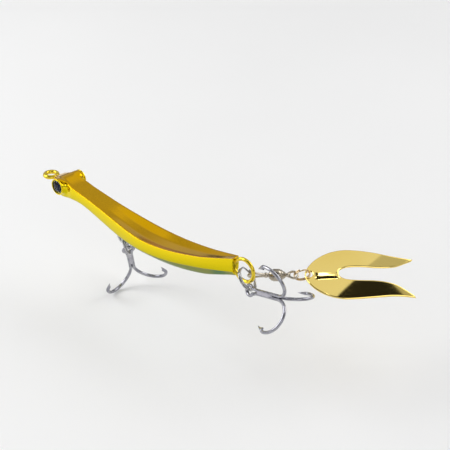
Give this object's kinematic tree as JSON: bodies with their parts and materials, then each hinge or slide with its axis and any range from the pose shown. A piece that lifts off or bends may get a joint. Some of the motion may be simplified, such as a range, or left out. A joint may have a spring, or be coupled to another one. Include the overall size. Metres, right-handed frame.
{
  "type": "inline spinner lure",
  "caption": "Cast metal fishing lure with domed eyes, a belly treble hook, a tail treble hook and a forked spinner blade on a rolling swivel.",
  "frame": {"origin": "centre of the nose eye", "axes": "+X from the nose eye to the tail, +Z to the lure's back, -Y to the lure's left side; the nose eye's bore runs along Z"},
  "size_m": [0.1218, 0.0518, 0.0446],
  "materials": {
    "cast_body": "polished gold-yellow plating over a solid casting, tinted clear coat",
    "gold_wire": "plated wire, semi-bright",
    "steel_wire": "drawn stainless wire",
    "eye_foil": "bright reflective foil disc",
    "eye_pupil": "glossy black print",
    "eye_lens": "clear domed resin",
    "ring_steel": "bright nickel-plated spring wire",
    "hook_steel": "tinned bright finish, dark in the grooves",
    "braze": "smooth braze fillet under the same plating",
    "swivel_wire": "bright nickel-plated wire",
    "swivel_barrel": "turned and crimped, warm nickel finish",
    "small_ring": "warm nickel-plated spring wire",
    "blade_gold": "mirror-polished pale gold plating"
  },
  "bodies": {
    "lure_body": {"body_casting": "cast_body", "line_tie_eye": "gold_wire", "belly_hanger": "steel_wire", "tail_loop": "gold_wire", "left_eye_backing": "eye_foil", "left_eye_pupil": "eye_pupil", "left_eye_lens": "eye_lens", "right_eye_backing": "eye_foil", "right_eye_pupil": "eye_pupil", "right_eye_lens": "eye_lens"},
    "belly_ring": {"belly_split_ring": "ring_steel"},
    "belly_treble": {"belly_treble_pair": "hook_steel", "belly_treble_single": "hook_steel", "belly_treble_braze": "braze"},
    "tail_ring": {"tail_split_ring": "ring_steel"},
    "tail_treble": {"tail_treble_pair": "hook_steel", "tail_treble_single": "hook_steel", "tail_treble_braze": "braze"},
    "swivel_front": {"swivel_front_eye": "swivel_wire"},
    "swivel_barrel": {"swivel_barrel": "swivel_barrel"},
    "swivel_rear": {"swivel_rear_eye": "swivel_wire"},
    "blade_ring": {"blade_split_ring": "small_ring"},
    "blade": {"spinner_blade": "blade_gold"}
  },
  "joints": [
    {"name": "belly_ring_swing", "type": "hinge", "parent": "lure_body", "child": "belly_ring", "pos_m": [0.0336, 0, -0.0106], "axis": [1, 0, 0], "range_deg": [-60, 10]},
    {"name": "belly_treble_swing", "type": "hinge", "parent": "belly_ring", "child": "belly_treble", "pos_m": [0.03221, 0.00283, -0.01564], "axis": [-0.7214, 0.3754, 0.5819], "range_deg": [-35, 35]},
    {"name": "tail_ring_swing", "type": "hinge", "parent": "lure_body", "child": "tail_ring", "pos_m": [0.08495, 0, -0.00412], "axis": [0.8581, 0, 0.5135], "range_deg": [-20, 20]},
    {"name": "tail_treble_swing", "type": "hinge", "parent": "tail_ring", "child": "tail_treble", "pos_m": [0.08678, -0.00146, -0.00536], "axis": [0.0765, 0.8288, -0.5542], "range_deg": [-15, 15]},
    {"name": "swivel_swing", "type": "hinge", "parent": "tail_ring", "child": "swivel_front", "pos_m": [0.08339, 0.00313, -0.00413], "axis": [-0.3897, 0.3967, 0.8311], "range_deg": [-5, 20]},
    {"name": "barrel_spin", "type": "hinge", "parent": "swivel_front", "child": "swivel_barrel", "pos_m": [0.08722, 0.00804, -0.00468], "axis": [0.6133, 0.785, -0.0872], "continuous": true},
    {"name": "rear_eye_spin", "type": "hinge", "parent": "swivel_barrel", "child": "swivel_rear", "pos_m": [0.08845, 0.00961, -0.00485], "axis": [0.6133, 0.785, -0.0872], "continuous": true},
    {"name": "blade_ring_swing", "type": "hinge", "parent": "swivel_rear", "child": "blade_ring", "pos_m": [0.09133, 0.0133, -0.00526], "axis": [-0.7276, 0.6045, 0.3243], "range_deg": [-35, 35]},
    {"name": "blade_swing", "type": "hinge", "parent": "blade_ring", "child": "blade", "pos_m": [0.09339, 0.01593, -0.00555], "axis": [0.3573, -0.1773, 0.917], "range_deg": [-30, 30]}
  ]
}
